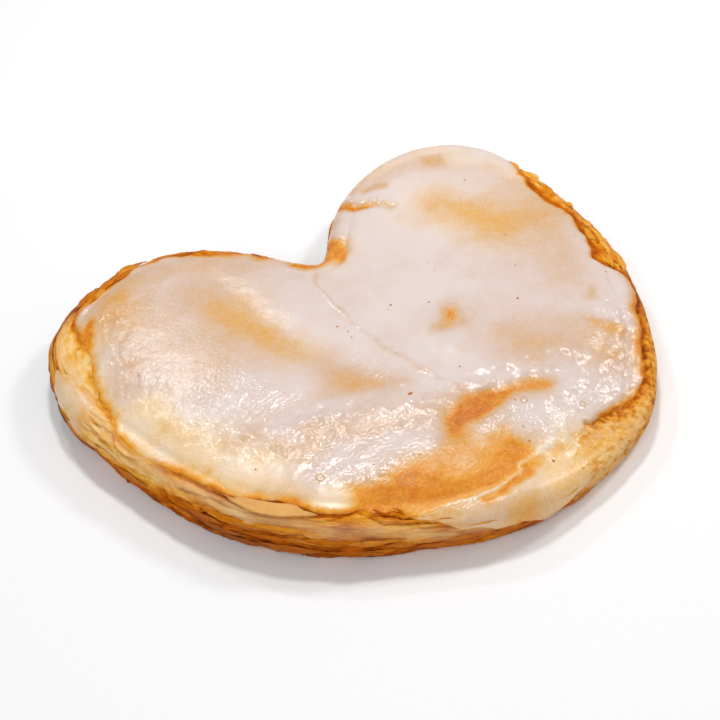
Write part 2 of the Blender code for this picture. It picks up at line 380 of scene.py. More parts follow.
# Places where the film of glaze is thin and the baked crust shows, and a few where the lower film
# stands in for painted shade: route in shares, half-width in millimetres, and how much of the film is gone.
THIN_PLACES = {
    "left_strand": ([(-0.36, 0.60), (-0.34, 0.36), (-0.31, 0.12), (-0.26, -0.12)], 15.0, 0.26),
    "left_strand_core": ([(-0.34, 0.46), (-0.33, 0.30), (-0.30, 0.06), (-0.25, -0.22)], 9.0, 0.17),
    "left_end": ([(-0.56, 0.66), (-0.62, 0.44), (-0.52, 0.26)], 24.0, 0.26),
    "left_back": ([(-0.70, 0.74), (-0.40, 0.88), (-0.10, 0.62)], 17.0, 0.28),
    "tip_fold": ([(-0.20, -0.60), (-0.14, -0.56), (-0.06, -0.57)], 8.5, 0.64),
    "tip_fold_core": ([(-0.18, -0.58), (-0.11, -0.56)], 5.0, 0.30),
    "tip_fold_tail": ([(-0.03, -0.58), (0.05, -0.61), (0.15, -0.655)], 5.5, 0.72),
    "outer_patch": ([(-0.57, -0.62), (-0.45, -0.70), (-0.34, -0.765), (-0.24, -0.81), (-0.12, -0.815)],
                    8.0, 0.80),
    "outer_patch_glow": ([(-0.50, -0.58), (-0.36, -0.67), (-0.22, -0.74), (-0.06, -0.79)], 11.0, 0.36),
    "outer_patch_top": ([(-0.42, -0.62), (-0.33, -0.64), (-0.215, -0.69), (-0.11, -0.715)], 7.0, 0.34),
    "flow_left": ([(-0.56, -0.66), (-0.50, -0.74), (-0.42, -0.84)], 6.0, 0.45),
    "rope": ([(-0.46, -0.755), (-0.40, -0.778), (-0.296, -0.835), (-0.19, -0.861), (-0.10, -0.841),
              (0.014, -0.826), (0.06, -0.80)], 1.0, -0.46),
    "rope_gap": ([(-0.30, -0.865), (-0.22, -0.885), (-0.14, -0.875)], 2.2, 0.6),
    # The crest blush lowers the film along the front crest: a tan-pink tint and partly painted shade, so the
    # highlights there stand out.
    "crest_blush_and_shade": ([(-0.62, -0.26), (-0.42, -0.36), (-0.22, -0.46), (-0.08, -0.56)], 11.0, 0.34),
    "tip_line": ([(0.10, -0.85), (0.20, -0.868), (0.31, -0.865)], 2.0, 0.6),
    "tip_hollow": ([(-0.02, -0.875), (0.03, -0.855)], 3.0, 0.40),
    "right_spot": ([(0.19, -0.165), (0.115, -0.215)], 7.5, 0.50),
    "right_spot_core": ([(0.195, -0.16), (0.17, -0.185)], 3.0, 0.25),
    "right_hollow": ([(0.58, 0.34), (0.63, 0.12)], 17.0, 0.50),
    "left_amber": ([(-0.72, 0.755), (-0.76, 0.72), (-0.79, 0.68)], 2.6, 0.8),
    "left_shoulder": ([(-0.80, 0.40), (-0.84, 0.17), (-0.84, -0.04)], 9.0, 0.22),
    "pool_patch": ([(-0.83, 0.12), (-0.77, 0.02)], 5.5, 0.16),
    "pool_patch_low": ([(-0.88, -0.04), (-0.83, -0.12)], 4.5, 0.22),
    "front_shoulder": ([(-0.84, -0.14), (-0.76, -0.32), (-0.68, -0.46)], 5.0, 0.22),
    "seam": ([(0.00, 0.385), (-0.05, 0.32), (-0.075, 0.19), (-0.082, 0.013), (-0.075, -0.14),
              (-0.07, -0.29), (-0.05, -0.47)], 1.1, 0.2),
    "crease_dab": ([(-0.74, -0.08), (-0.70, -0.13), (-0.64, -0.13)], 6.0, 0.34),
    # The crease shade darkens the glaze in a band along the front crease: painted shade.
    "crease_shade": ([(-0.66, -0.04), (-0.40, -0.14), (-0.14, -0.30)], 6.0, 0.16),
    "left_back_dab": ([(-0.55, 0.81), (-0.55, 0.77)], 3.0, 0.12),
    "back_strand_dab": ([(-0.43, 0.80), (-0.38, 0.80)], 4.0, 0.06),
    "left_end_dab": ([(-0.76, 0.49), (-0.73, 0.45)], 5.0, 0.20),
    "notch_wrinkle": ([(0.10, 0.37), (0.16, 0.42), (0.19, 0.48)], 4.2, 0.55),
    "notch_wrinkle_core": ([(0.12, 0.38), (0.17, 0.44)], 1.8, 0.35),
    "notch_edge": ([(-0.03, 0.50), (0.04, 0.42), (0.10, 0.43)], 2.6, 0.6),
    "right_wrinkle": ([(0.34, 0.63), (0.37, 0.57), (0.42, 0.47)], 3.4, 0.5),
    "right_wrinkle_end": ([(0.36, 0.60), (0.38, 0.56)], 4.0, 0.4),
    "right_wrinkle_fork": ([(0.44, 0.645), (0.50, 0.60)], 3.0, 0.35),
    # The tip flow entries darken the glaze run down the front, most toward its bottom: partly thinner film,
    # partly painted shade on the downward-facing flow.
    "tip_flow": ([(-0.56, -0.86), (-0.40, -0.95), (-0.22, -1.00)], 11.0, 0.35),
    "tip_flow_low_and_shade": ([(-0.40, -0.98), (-0.10, -1.03), (0.16, -1.01)], 10.0, 0.44),
    "back_dab": ([(0.72, 0.61), (0.76, 0.57)], 4.5, 0.28),
    "right_dabs": ([(0.49, -0.57), (0.52, -0.61)], 4.2, 0.42),
    "right_dab": ([(0.59, -0.46), (0.61, -0.44)], 4.0, 0.30),
    "right_blush": ([(0.24, -0.46), (0.38, -0.56), (0.42, -0.68)], 17.0, 0.36),
    # The right shade darkens the glaze along the far right edge: painted shade.
    "right_shade": ([(0.62, -0.26), (0.74, -0.10), (0.86, 0.20)], 18.0, 0.32),
    "far_blush": ([(0.84, 0.40), (0.70, 0.62), (0.48, 0.70)], 12.0, 0.20),
}
# Places where the glaze is yellowish rather than pinkish white.
CREAM_PLACES = {
    "left_pool": ([(-0.82, 0.20), (-0.82, 0.02), (-0.80, -0.14), (-0.74, -0.26)], 14.0, 1.1),
    "left_line": ([(-0.77, 0.70), (-0.83, 0.60), (-0.87, 0.48), (-0.92, 0.32), (-0.95, 0.12)], 7.0, 1.0),
    "front_line": ([(-0.93, -0.06), (-0.84, -0.30), (-0.70, -0.50), (-0.58, -0.64)], 5.0, 0.8),
    "hollow_tint": ([(0.55, 0.36), (0.62, 0.14)], 22.0, 0.55),
    "left_tint": ([(-0.34, 0.44), (-0.30, 0.10)], 14.0, 0.35),
    "notch_tint": ([(0.10, 0.38), (0.18, 0.46)], 9.0, 0.5),
    "far_edge": ([(0.92, 0.20), (0.80, 0.62), (0.46, 0.76)], 7.0, 0.45),
    "near_edge": ([(-0.70, -0.44), (-0.56, -0.60)], 5.0, 0.5),
    "patch": ([(-0.50, -0.68), (-0.30, -0.77), (-0.10, -0.82)], 12.0, 0.8),
    "tip_end": ([(-0.04, -0.95), (0.04, -0.88), (0.10, -0.84)], 10.0, 0.8),
    "tip_side": ([(-0.50, -0.90), (-0.36, -0.96), (0.00, -1.00), (0.26, -0.96)], 15.0, 0.45),
}
# Places where the glaze has dried to a wet-looking, finely rippled gloss.
SPARKLE_PLACES = {
    "left": ([(-0.66, 0.72), (-0.76, 0.58), (-0.79, 0.44), (-0.80, 0.30), (-0.82, 0.16)], 15.0, 1.0),
    "left_low": ([(-0.78, 0.02), (-0.66, 0.08), (-0.54, 0.04)], 16.0, 1.0),
    "crease": ([(-0.80, -0.14), (-0.66, -0.22), (-0.50, -0.28)], 9.0, 1.0),
    "crest": ([(-0.52, -0.28), (-0.40, -0.34), (-0.22, -0.44), (-0.06, -0.52)], 11.0, 1.0),
    "near": ([(-0.56, -0.48), (-0.44, -0.60), (-0.30, -0.64)], 10.0, 0.9),
    "fold": ([(-0.10, -0.64), (0.02, -0.68)], 7.0, 1.0),
    "rope": ([(-0.46, -0.76), (-0.28, -0.85), (-0.06, -0.83), (0.08, -0.80)], 3.5, 0.8),
    "patch": ([(-0.48, -0.64), (-0.30, -0.73), (-0.12, -0.80)], 8.0, 0.8),
    "right": ([(0.10, -0.80), (0.30, -0.82), (0.46, -0.74), (0.58, -0.62)], 13.0, 1.0),
    "far_right": ([(0.66, -0.42), (0.62, -0.30)], 8.0, 0.5),
    "hollow": ([(0.56, 0.28), (0.64, 0.20)], 9.0, 0.4),
    "notch": ([(0.03, 0.43), (0.08, 0.40)], 5.0, 0.9),
    "seam": ([(0.00, 0.38), (-0.075, 0.19), (-0.08, 0.0), (-0.05, -0.46)], 3.0, 0.25),
    "wrinkle": ([(0.36, 0.62), (0.42, 0.50)], 5.0, 0.8),
    "strand": ([(-0.30, 0.00), (-0.22, -0.22)], 8.0, 0.5),
}
# Places where the glaze is lumpy and catches the light.
LUMPY_PLACES = {
    "left": ([(-0.66, 0.72), (-0.76, 0.58), (-0.79, 0.44), (-0.80, 0.30), (-0.82, 0.16)], 12.0, 1.0),
    "left_low": ([(-0.80, 0.06), (-0.70, 0.04), (-0.58, 0.04)], 13.0, 0.9),
    "near": ([(-0.78, -0.14), (-0.66, -0.24), (-0.58, -0.44), (-0.44, -0.60)], 9.0, 0.8),
    "right_band": ([(-0.02, -0.78), (0.14, -0.78), (0.30, -0.76), (0.46, -0.70), (0.60, -0.60)], 11.0, 1.0),
    "far_right": ([(0.60, -0.50), (0.66, -0.40), (0.62, -0.26)], 8.0, 0.45),
    "hollow": ([(0.54, 0.30), (0.64, 0.16)], 10.0, 0.4),
    "fold": ([(-0.06, -0.66), (0.02, -0.70)], 5.0, 0.5),
}
LUMP_RISE = 0.38 * MM
# Ridges and falls in the glaze itself: route in shares, half-width and rise in millimetres.
GLAZE_SWELLS = {
    "front_crest": ([(-0.70, -0.12), (-0.54, -0.22), (-0.40, -0.27), (-0.20, -0.37)], 9.0, 1.5),
    "tip_rope": ([(-0.46, -0.755), (-0.40, -0.778), (-0.296, -0.835), (-0.19, -0.861), (-0.10, -0.841),
                  (0.014, -0.826), (0.06, -0.80)], 1.3, 0.34),
    "tip_rib": ([(-0.36, -0.86), (-0.26, -0.905), (-0.16, -0.91)], 1.6, 0.25),
    "tip_ridge": ([(0.014, -0.90), (0.05, -0.885), (0.10, -0.87)], 1.5, 0.35),
    "right_crease": ([(0.55, -0.44), (0.60, -0.40), (0.66, -0.38)], 1.2, 0.3),
    "right_fill": ([(0.10, -0.86), (0.22, -0.86), (0.34, -0.83)], 8.0, 0.9),
    "fold_fill": ([(-0.13, -0.51), (-0.02, -0.49), (0.12, -0.54), (0.30, -0.61)], 9.0, 1.7),
    "patch_fill": ([(-0.44, -0.68), (-0.24, -0.75), (-0.06, -0.79), (0.04, -0.80)], 9.0, 0.9),
    "wrinkle": ([(0.34, 0.63), (0.37, 0.57), (0.42, 0.47)], 2.2, -0.6),
    "wrinkle_lip": ([(0.37, 0.65), (0.41, 0.58), (0.46, 0.49)], 2.2, 0.5),
    "notch_dip": ([(0.10, 0.37), (0.16, 0.42), (0.19, 0.48)], 2.6, -0.7),
    "seam": ([(0.00, 0.385), (-0.05, 0.32), (-0.075, 0.19), (-0.082, 0.013), (-0.075, -0.14),
              (-0.07, -0.29), (-0.05, -0.47)], 0.9, 0.50),
    "left_rim": ([(-0.93, 0.42), (-0.95, 0.14), (-0.90, -0.12)], 16.0, -0.9),
    "right_rim": ([(0.22, -0.74), (0.42, -0.72), (0.62, -0.52)], 9.0, 0.9),
}
RIPPLE = 0.09 * MM
# Width in millimetres of the browned line along the glaze's edge, by bearing.
EDGE_BROWN = [(-178, 3.2), (-150, 3.2), (-143, 2.0), (-134, 2.0), (-122, 0.7), (-96, 0.7), (-84, 1.2),
              (-74, 2.5), (-60, 3.6), (-35, 3.6), (-24, 1.6), (12, 1.6), (30, 4.0), (64, 5.0), (84, 5.5),
              (96, 3.5), (110, 1.2), (130, 1.2), (138, 2.8), (150, 3.0), (160, 3.0), (170, 3.4)]
# Bearings where the glaze thins out to nothing instead of ending in a rounded edge.
FADING = [(-180, 0.0), (-138, 0.0), (-130, 0.75), (-121, 0.7), (-114, 0.3), (-106, 0.0), (-102, 0.0), (-96, 0.4),
          (-90, 0.8), (-84, 1.0), (-78, 1.0), (-74, 0.0), (30, 0.0), (170, 0.0)]
FADE_WIDTH = 12.0 * MM
FADED_COVER = 0.58
FADE_SINK = 0.35 * MM
FLOW_END = -82.0
# Least share of the full film over the places where the crust shows.
THINNEST = 0.08


def by_bearing(table, bearing):
    """Values read smoothly from (bearing in degrees, value) pairs round the heart."""
    degrees = np.array([row[0] for row in table], float)
    values = np.array([row[1] for row in table], float)
    order = np.argsort(degrees)
    fine = np.arange(-180.0, 180.0, 0.5)
    smooth = blur_ring(np.interp(fine, degrees[order], values[order], period=360.0), 3.0)
    return np.interp(np.degrees(bearing), fine, smooth, period=360.0)


def over_places(places, points):
    """Sum of soft-edged strokes laid along the routes of some places."""
    total = np.zeros(len(points))
    for route, half_width, strength in places.values():
        gap = distance_to_route(points, np.array(route) * HALF)
        total += strength * np.exp(-((gap / (half_width * MM)) ** 2))
    return total


def glaze_edge(form, bearing):
    """How far the glaze reaches past the start of the shoulder."""
    wander = layered_noise(form.at_bearing(form.curve, bearing), 14.0 * MM, 5, 3)
    fine = layered_noise(form.at_bearing(form.curve, bearing), 5.0 * MM, 8, 2)
    ragged = 0.3 + 1.5 * by_bearing(FADING, bearing)
    return by_bearing(GLAZE_REACH, bearing) * MM + EDGE_WANDER * (wander + ragged * fine)


def warped(plan, amount):
    """Plan points shifted about smoothly, so that soft strokes come out uneven."""
    shift = np.column_stack([layered_noise(plan, 16.0 * MM, seed, 4) for seed in (71, 72)])
    return plan + amount * shift


def faded(bearing, run):
    """How far the glaze on the side has thinned out to nothing, from 0 to 1."""
    end = np.exp(-(((np.degrees(bearing) - FLOW_END) / 5.0) ** 2))
    return by_bearing(FADING, bearing) * smooth_step((run + (6.0 + 8.0 * end) * MM) / FADE_WIDTH)


def film_cover(plan, bearing, run, from_edge):
    """How much of the full film of glaze lies at plan points, from 0 to 1."""
    cover = 0.97 - over_places(THIN_PLACES, warped(plan, 3.0 * MM))
    brown = by_bearing(EDGE_BROWN, bearing) * MM
    fade = faded(bearing, run)
    broken = 0.85 + 0.35 * layered_noise(plan, 7.0 * MM, 87, 2)
    cover -= broken * np.exp(-((from_edge / brown) ** 1.5)) * (1.0 - fade)
    cover += 0.8 * fade * (FADED_COVER - cover)
    cover += 0.09 * layered_noise(plan, 28.0 * MM, 81, 3)
    return np.clip(cover, THINNEST + 0.07 * layered_noise(plan, 3.0 * MM, 85, 2), 1.0)


# ---------------------------------------------------------------- the crust

# Baked leaves lie on the side like tiles, each standing out most at its torn lower edge.
LEAF_STEP = 3.1 * MM
LEAF_STAND = 1.5 * MM
FINE_STEP = 1.5 * MM
FINE_STAND = 0.55 * MM
LEAF_LIP = 0.82
GAP_SHARE = 0.17
GAP_DEPTH = 1.3 * MM
LAYERS_APART = 100.0 * MM
PIT_DEPTH = 0.5 * MM
GROOVE_DEPTH = 0.9 * MM
GROOVE_WIDTH = 1.3 * MM
BARED_BY_FADE = 16.0 * MM
# Bearings where the side is one puffed face with pores rather than leaves.
POROUS = [(-180, 0.0), (-100, 0.0), (-88, 0.6), (-80, 1.0), (-52, 1.0), (-36, 0.85), (-18, 0.35),
          (5, 0.2), (30, 0.0), (170, 0.0)]
# Bearings where a crack runs along the glaze's edge; it is cut into the crust and also darkened in colour as
# painted shade.
GROOVED = [(-178, 0.2), (-160, 0.4), (-152, 1.0), (-140, 0.6), (-124, 0.0), (-88, 0.0), (-78, 0.35),
           (-40, 0.45), (-10, 0.4), (10, 0.4), (30, 0.1), (110, 0.1), (130, 0.2), (140, 0.5), (155, 0.4),
           (170, 0.3)]
# Bearings where the crust is soaked amber along the glaze's edge.
AMBER = [(-178, 0.4), (-134, 0.5), (-124, 0.0), (-90, 0.0), (-80, 0.5), (-60, 1.0), (-30, 1.0), (10, 0.5),
         (30, 0.1), (110, 0.2), (132, 0.3), (138, 0.7), (152, 0.55)]
# How browned the side is near the top, and how much darker it is near the ground, by bearing:
# partly real browning of the base, partly painted shade where the side meets the ground.
UPPER_BAKE = [(-178, 0.36), (-150, 0.44), (-134, 0.38), (-120, 0.32), (-100, 0.24), (-88, 0.12), (-74, 0.18),
              (-50, 0.26), (-34, 0.33), (-20, 0.38), (5, 0.36), (30, 0.42), (100, 0.44), (130, 0.42), (138, 0.08),
              (165, 0.04)]
UNDER_BAKE_AND_SHADE = [(-178, 0.30), (-110, 0.28), (-95, 0.34), (-84, 0.15), (-40, 0.10), (0, 0.4), (60, 0.6),
              (130, 0.3), (136, 0.8), (146, 0.8), (158, 0.7)]
# How much more browned the outer half of the rim is, by bearing.
OUTER_BAKE = [(-180, 0.0), (118, 0.0), (126, 0.30), (142, 0.38), (150, 0.1), (156, 0.0)]
# Bearings where the crust is streaked along the rim.
STREAKED = [(-178, 1.0), (-150, 0.8), (-120, 0.6), (-100, 0.2), (-80, 0.1), (-40, 0.2), (-20, 0.7), (20, 0.7),
            (110, 0.8), (135, 1.0), (165, 1.0)]
# Run in millimetres of the band of dried glaze on the side, and how strong it is, by bearing.
BAND_RUN = [(-178, 8.0), (-169, 7.5), (-159, 9.5), (-147, 10.0), (-141, 11.5), (-132, 10.5), (-120, 16.0),
            (-90, 18.0), (-80, 12.0), (-60, 9.0), (130, 8.0), (150, 3.0), (165, 6.0)]
BAND_HALF = 3.4 * MM
SMEAR = [(-180, 0.85), (-165, 0.8), (-150, 0.74), (-132, 0.75), (-118, 0.7), (-95, 0.35), (-84, 0.5),
         (-74, 0.3), (-60, 0.12), (-30, 0.12), (10, 0.3), (60, 0.2), (125, 0.1), (138, 0.65), (150, 0.8),
         (160, 0.8), (172, 0.85)]
FLAKE_COUNT = 90
# Stretches of the rim, between two bearings each, where small leaves curl up beside the glaze.
RIM_FLAKE_BEARINGS = [(-24.0, 18.0), (112.0, 132.0)]
RIM_FLAKE_COUNT = 18
# The pad of glaze on the outer side of the left lobe.
RUN_BEARING = 155.0
RUN_MIDDLE = 9.5 * MM
RUN_HALF_ALONG = 26.0 * MM
RUN_HALF_DOWN = 11.0 * MM
RUN_LIFT = 0.9 * MM
# Specks as a place in shares and a half-width in millimetres, and how many finer ones.
SPECKS = [
    ((-0.18, -0.37), 1.5), ((0.06, 0.02), 0.8), ((0.04, 0.01), 0.5), ((0.16, -0.07), 0.7), ((0.02, -0.39), 0.7),
    ((0.74, 0.39), 0.7), ((0.61, 0.02), 0.7), ((0.50, -0.15), 0.6), ((0.38, -0.29), 0.8), ((0.04, -0.64), 0.8),
    ((-0.02, -0.74), 0.6), ((-0.03, -0.89), 1.0), ((-0.14, 0.07), 0.8), ((-0.14, -0.01), 0.6),
    ((-0.13, 0.02), 0.6), ((-0.73, -0.26), 0.7), ((-0.75, 0.39), 0.8), ((-0.04, -0.79), 0.7),
    ((0.72, -0.39), 0.8), ((-0.46, -0.52), 0.6), ((0.30, 0.10), 0.5), ((-0.02, 0.52), 0.8),
]
FINE_SPECKS = 46
# Burst bubbles as a place in shares, a radius and a tube radius in millimetres.
BUBBLES = [((-0.42, -0.64), 2.6, 0.26), ((-0.61, -0.44), 1.7, 0.3), ((-0.48, -0.60), 1.3, 0.22),
           ((0.06, -0.66), 1.5, 0.22), ((-0.30, -0.46), 1.2, 0.2), ((0.20, -0.79), 1.3, 0.2)]


def leaf_tiles(ring, run, step, seed):
    """Shares of how far tiled leaves stand out and how open the gaps under them are, and their tints."""
    drift = 1.6 * layered_noise(ring, 50.0 * MM, seed, 3)
    drift += 1.1 * lattice_noise(np.column_stack([ring, run]), 17.0 * MM, seed + 3)
    drift += 0.22 * layered_noise(ring, 6.0 * MM, seed + 5, 3)
    place = run / step + drift
    layer = np.floor(place)
    share = place - layer
    own, above = (np.column_stack([ring, level * LAYERS_APART]) for level in (layer, layer - 1.0))
    stand, over = (smooth_step(0.5 + 1.1 * lattice_noise(key, 20.0 * MM, seed + 9)) for key in (own, above))
    lip = np.where(share < LEAF_LIP, (share / LEAF_LIP) ** 1.5, (1.0 - share) / (1.0 - LEAF_LIP))
    return stand * lip, over * np.exp(-((share / GAP_SHARE) ** 2)), lattice_noise(own, 30.0 * MM, seed + 13)


def dried_band(form, bearing, run):
    """How much of a band of dried glaze lies on the side, from 0 to 1."""
    place = np.column_stack([form.at_bearing(form.curve, bearing), run])
    across = (run - by_bearing(BAND_RUN, bearing) * MM) / BAND_HALF
    uneven = 0.9 + 0.5 * layered_noise(place, 11.0 * MM, 311, 3)
    tip = np.exp(-(((np.degrees(bearing) - FLOW_END) / 12.0) ** 2)) * smooth_step((run + 12.0 * MM) / (8.0 * MM))
    mottle = np.clip(0.5 + 0.7 * layered_noise(place, 4.0 * MM, 317, 2), 0.0, 1.0)
    return np.clip(np.exp(-(across**2)) * by_bearing(SMEAR, bearing) * uneven + 0.95 * tip * mottle, 0.0, 1.0)


def crust_relief(form, bearing, run, points):
    """How far the crust stands out from the smooth form, the painted shade of its gaps, pits and groove, and its
    leaf's tint.
    """
    ring = form.at_bearing(form.curve, bearing)
    porous = by_bearing(POROUS, bearing)
    beyond = run - glaze_edge(form, bearing) + BARED_BY_FADE * faded(bearing, run)
    coarse, gap, tint = leaf_tiles(ring, run, LEAF_STEP, 500)
    fine, fine_gap, _ = leaf_tiles(ring, run, FINE_STEP, 540)
    calm = (1.0 - 0.8 * dried_band(form, bearing, run)) * (0.4 + 0.6 * smooth_step((run - 1.0 * MM) / (7.0 * MM)))
    leafy = calm * (1.0 - porous)
    relief = LEAF_STAND * (coarse - 0.4) + FINE_STAND * (fine - 0.4) - GAP_DEPTH * gap
    relief = relief * leafy
    pores = lattice_noise(points, 2.0 * MM, 201) + 0.9 * lattice_noise(points, 1.2 * MM, 202)
    pits = smooth_step((pores - 0.25) / 0.5)
    relief -= PIT_DEPTH * pits * (0.1 + 0.9 * porous)
    relief += (0.5 - 0.25 * porous) * MM * layered_noise(points, 12.0 * MM, 211, 3)
    groove = by_bearing(GROOVED, bearing) * np.exp(-(((beyond - 0.9 * MM) / GROOVE_WIDTH) ** 2))
    relief -= GROOVE_DEPTH * groove
    # Gaps under the leaves, pits and the groove are gathered here to be browned darker in colour: painted shade
    # in the recesses.
    crack_shade = np.clip(leafy * (0.8 * gap + 0.3 * fine_gap) + 0.34 * pits * porous + 0.5 * groove, 0.0, 1.0)
    down_side = smooth_step((beyond + 1.0 * MM) / (2.5 * MM)) * smooth_step((run + 9.0 * MM) / (6.0 * MM))
    to_base = smooth_step(points[:, 2] / (1.5 * MM))
    return relief * down_side * to_base, crack_shade * down_side, tint * (1.0 - porous)


def side_bake_and_shade(bearing, height):
    """How browned the side is before its finer unevenness, darker near the ground as partly painted shade."""
    # Darkening toward the ground: partly real browning, partly painted shade of the ground.
    under = smooth_step((20.0 * MM - height) / (12.0 * MM))
    outer = smooth_step((23.4 * MM - height) / (2.0 * MM))
    return (by_bearing(UPPER_BAKE, bearing) + by_bearing(UNDER_BAKE_AND_SHADE, bearing) * under
            + by_bearing(OUTER_BAKE, bearing) * outer)


def crust_colour_drivers(form, bearing, run, points, crack_shade, tint):
    """How browned the crust is, darkened with painted shade in its cracks and near the ground, and how much dried
    glaze is smeared on it, each from 0 to 1.
    """
    beyond = run - glaze_edge(form, bearing)
    porous = by_bearing(POROUS, bearing)
    reach = (2.0 + 1.6 * porous) * MM
    line = by_bearing(AMBER, bearing) * np.exp(-((np.maximum(beyond, 0.0) / reach) ** 1.5))
    # The browning added from the crack mask is painted shade in the gaps, pits and groove.
    bake_and_shade = side_bake_and_shade(bearing, points[:, 2]) + 0.30 * line + 0.14 * tint + 0.52 * crack_shade
    bake_and_shade += (0.15 - 0.08 * porous) * layered_noise(points, 14.0 * MM, 301, 3)
    bake_and_shade += 0.07 * layered_noise(points, 4.5 * MM, 305, 2)
    bake_and_shade += 0.18 * porous * layered_noise(points, 2.2 * MM, 309, 2)
    streak = layered_noise(np.column_stack([form.at_bearing(form.curve, bearing), 3.0 * run]), 6.0 * MM, 321, 3)
    bake_and_shade += 0.17 * by_bearing(STREAKED, bearing) * streak
    smear = dried_band(form, bearing, run) * (1.0 - 0.7 * crack_shade) * (1.0 - line)
    return np.clip(bake_and_shade, 0.0, 1.0), np.clip(smear, 0.0, 1.0)


def build_crust(form, material):
    """The whole pastry: a fine side and shoulder, a plainer top under the glaze, a flat base."""
    rim = square_rim(CRUST_CELLS)
    bearings, shares = square_sheet(CRUST_CELLS, form)
    ring = bearings[rim]
    count = len(ring)
    margin = np.linspace(-CRUST_MARGIN, 0.0, MARGIN_RINGS, endpoint=False)
    runs = np.concatenate([margin, np.linspace(0.0, form.side_length, SIDE_RINGS)])
    bearing = np.tile(ring, len(runs))
    run = np.repeat(runs, count)
    smooth = form.surface(bearing, run)
    relief, crack_shade, tint = crust_relief(form, bearing, run, smooth)
    points = smooth + relief[:, None] * form.facing(bearing, run)
    points[:, 2] = np.maximum(points[:, 2], 0.0)
    bake_and_shade, smear = crust_colour_drivers(form, bearing, run, smooth, crack_shade, tint)
    faces = []
    for level in range(len(runs) - 1):
        start = level * count
        faces += band_faces(np.arange(start, start + count), np.arange(start + count, start + 2 * count))
    points, faces, bake_and_shade, smear = close_crust(form, points, faces, bake_and_shade, smear, count, len(runs))
    porous = by_bearing(POROUS, np.arctan2(points[:, 1], points[:, 0]))
    attributes = {"bake_and_shade": bake_and_shade, "smear": smear, "porous": porous}
    crust = make_piece("crust", points, faces, attributes, material)
    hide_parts(NODE)
    return crust


def close_crust(form, points, faces, bake_and_shade, smear, count, levels):
    """Adds the coarse top under the glaze and the flat base."""
    cells = CRUST_CELLS // COARSE_STEP
    bearing, share = square_sheet(cells, form)
    rim = form.at_bearing(form.rim, bearing)
    inner = 1.0 - (CRUST_MARGIN + 2.0 * MM) / np.hypot(rim[:, 0], rim[:, 1])
    plan = rim * (share * inner)[:, None]
    top = np.column_stack([plan, form.top(plan)])
    base_ring = points[(levels - 1) * count: levels * count]
    base_points = base_ring[::COARSE_STEP]
    reach = np.interp(bearing, *periodic(np.arctan2(base_points[:, 1], base_points[:, 0]),
                                         np.hypot(base_points[:, 0], base_points[:, 1])))
    radius = reach * share * 0.97
    base = np.column_stack([radius * np.cos(bearing), radius * np.sin(bearing), 0.0 * share])
    first_top = len(points)
    first_base = first_top + len(top)
    border = square_rim(cells)
    faces += square_faces(cells, first_top, upward=True)
    faces += stepped_band(np.arange(count), first_top + border, fine_is_lower=True)
    faces += square_faces(cells, first_base, upward=False)
    last = np.arange((levels - 1) * count, levels * count)
    faces += stepped_band(last, first_base + border, fine_is_lower=False)
    extra = np.full(len(top), 0.4)
    bake_and_shade = np.concatenate([bake_and_shade, extra, np.full(len(base), 0.62)])
    smear = np.concatenate([smear, 0.0 * extra, np.zeros(len(base))])
    return np.vstack([points, top, base]), faces, bake_and_shade, smear


def periodic(bearing, values):
    """Sorted bearings and values with one turn added at each end, for np.interp."""
    order = np.argsort(bearing)
    bearing, values = bearing[order], values[order]
    turn = 2.0 * math.pi
    return np.concatenate([bearing - turn, bearing, bearing + turn]), np.tile(values, 3)


# ---------------------------------------------------------------- the glaze


def glaze_sheet(form, cells):
    """Bearing, run and distance from the edge for the corners of the glaze's square grid."""
    bearing, share = square_sheet(cells, form)
    rim = form.at_bearing(form.rim, bearing)
    across = np.hypot(rim[:, 0], rim[:, 1])
    total = across + glaze_edge(form, bearing)
    return bearing, share * total - across, (1.0 - share) * total


def glaze_thickness(form, bearing, run, from_edge, plan, cover, sparkle):
    """Thickness of the glaze over the smooth form: a rounded bead at its edge, swells inside."""
    bead = np.sqrt(np.clip(1.0 - (1.0 - np.minimum(from_edge / BEAD_WIDTH, 1.0)) ** 2, 0.0, 1.0))
    over_side = smooth_step(run / (8.0 * MM)) * smooth_step((np.cos(bearing + math.radians(107.0)) - 0.8) / 0.15)
    swell = 0.14 * layered_noise(plan, 17.0 * MM, 401, 2) + 0.04 * lattice_noise(plan, 4.5 * MM, 402)
    brown = by_bearing(EDGE_BROWN, bearing) * MM
    feather = 1.0 - 0.75 * smooth_step(brown / (3.0 * MM)) * np.exp(-((from_edge / brown) ** 1.5))
    thickness = GLAZE_DEPTH * (0.6 + 0.4 * cover + swell + 0.7 * over_side) * feather
    broken = 1.0 + 0.4 * lattice_noise(plan, 5.0 * MM, 433)
    thickness += MM * broken * over_places(GLAZE_SWELLS, warped(plan, 1.2 * MM))
    ring = np.column_stack([form.at_bearing(form.curve, bearing), run])
    thickness += over_side * 0.45 * MM * layered_noise(ring, 15.0 * MM, 411, 2)
    thickness += RIPPLE * sparkle * layered_noise(plan, 3.4 * MM, 421, 2)
    lumpy = np.clip(over_places(LUMPY_PLACES, warped(plan, 3.0 * MM)), 0.0, 1.0)
    thickness += LUMP_RISE * lumpy * layered_noise(plan, 5.5 * MM, 431, 2)
    fade = faded(bearing, run)
    body = np.maximum(thickness, THIN_DEPTH) * (1.0 - fade) - FADE_SINK * fade
    return bead * body - TUCK_DEPTH * (1.0 - bead)


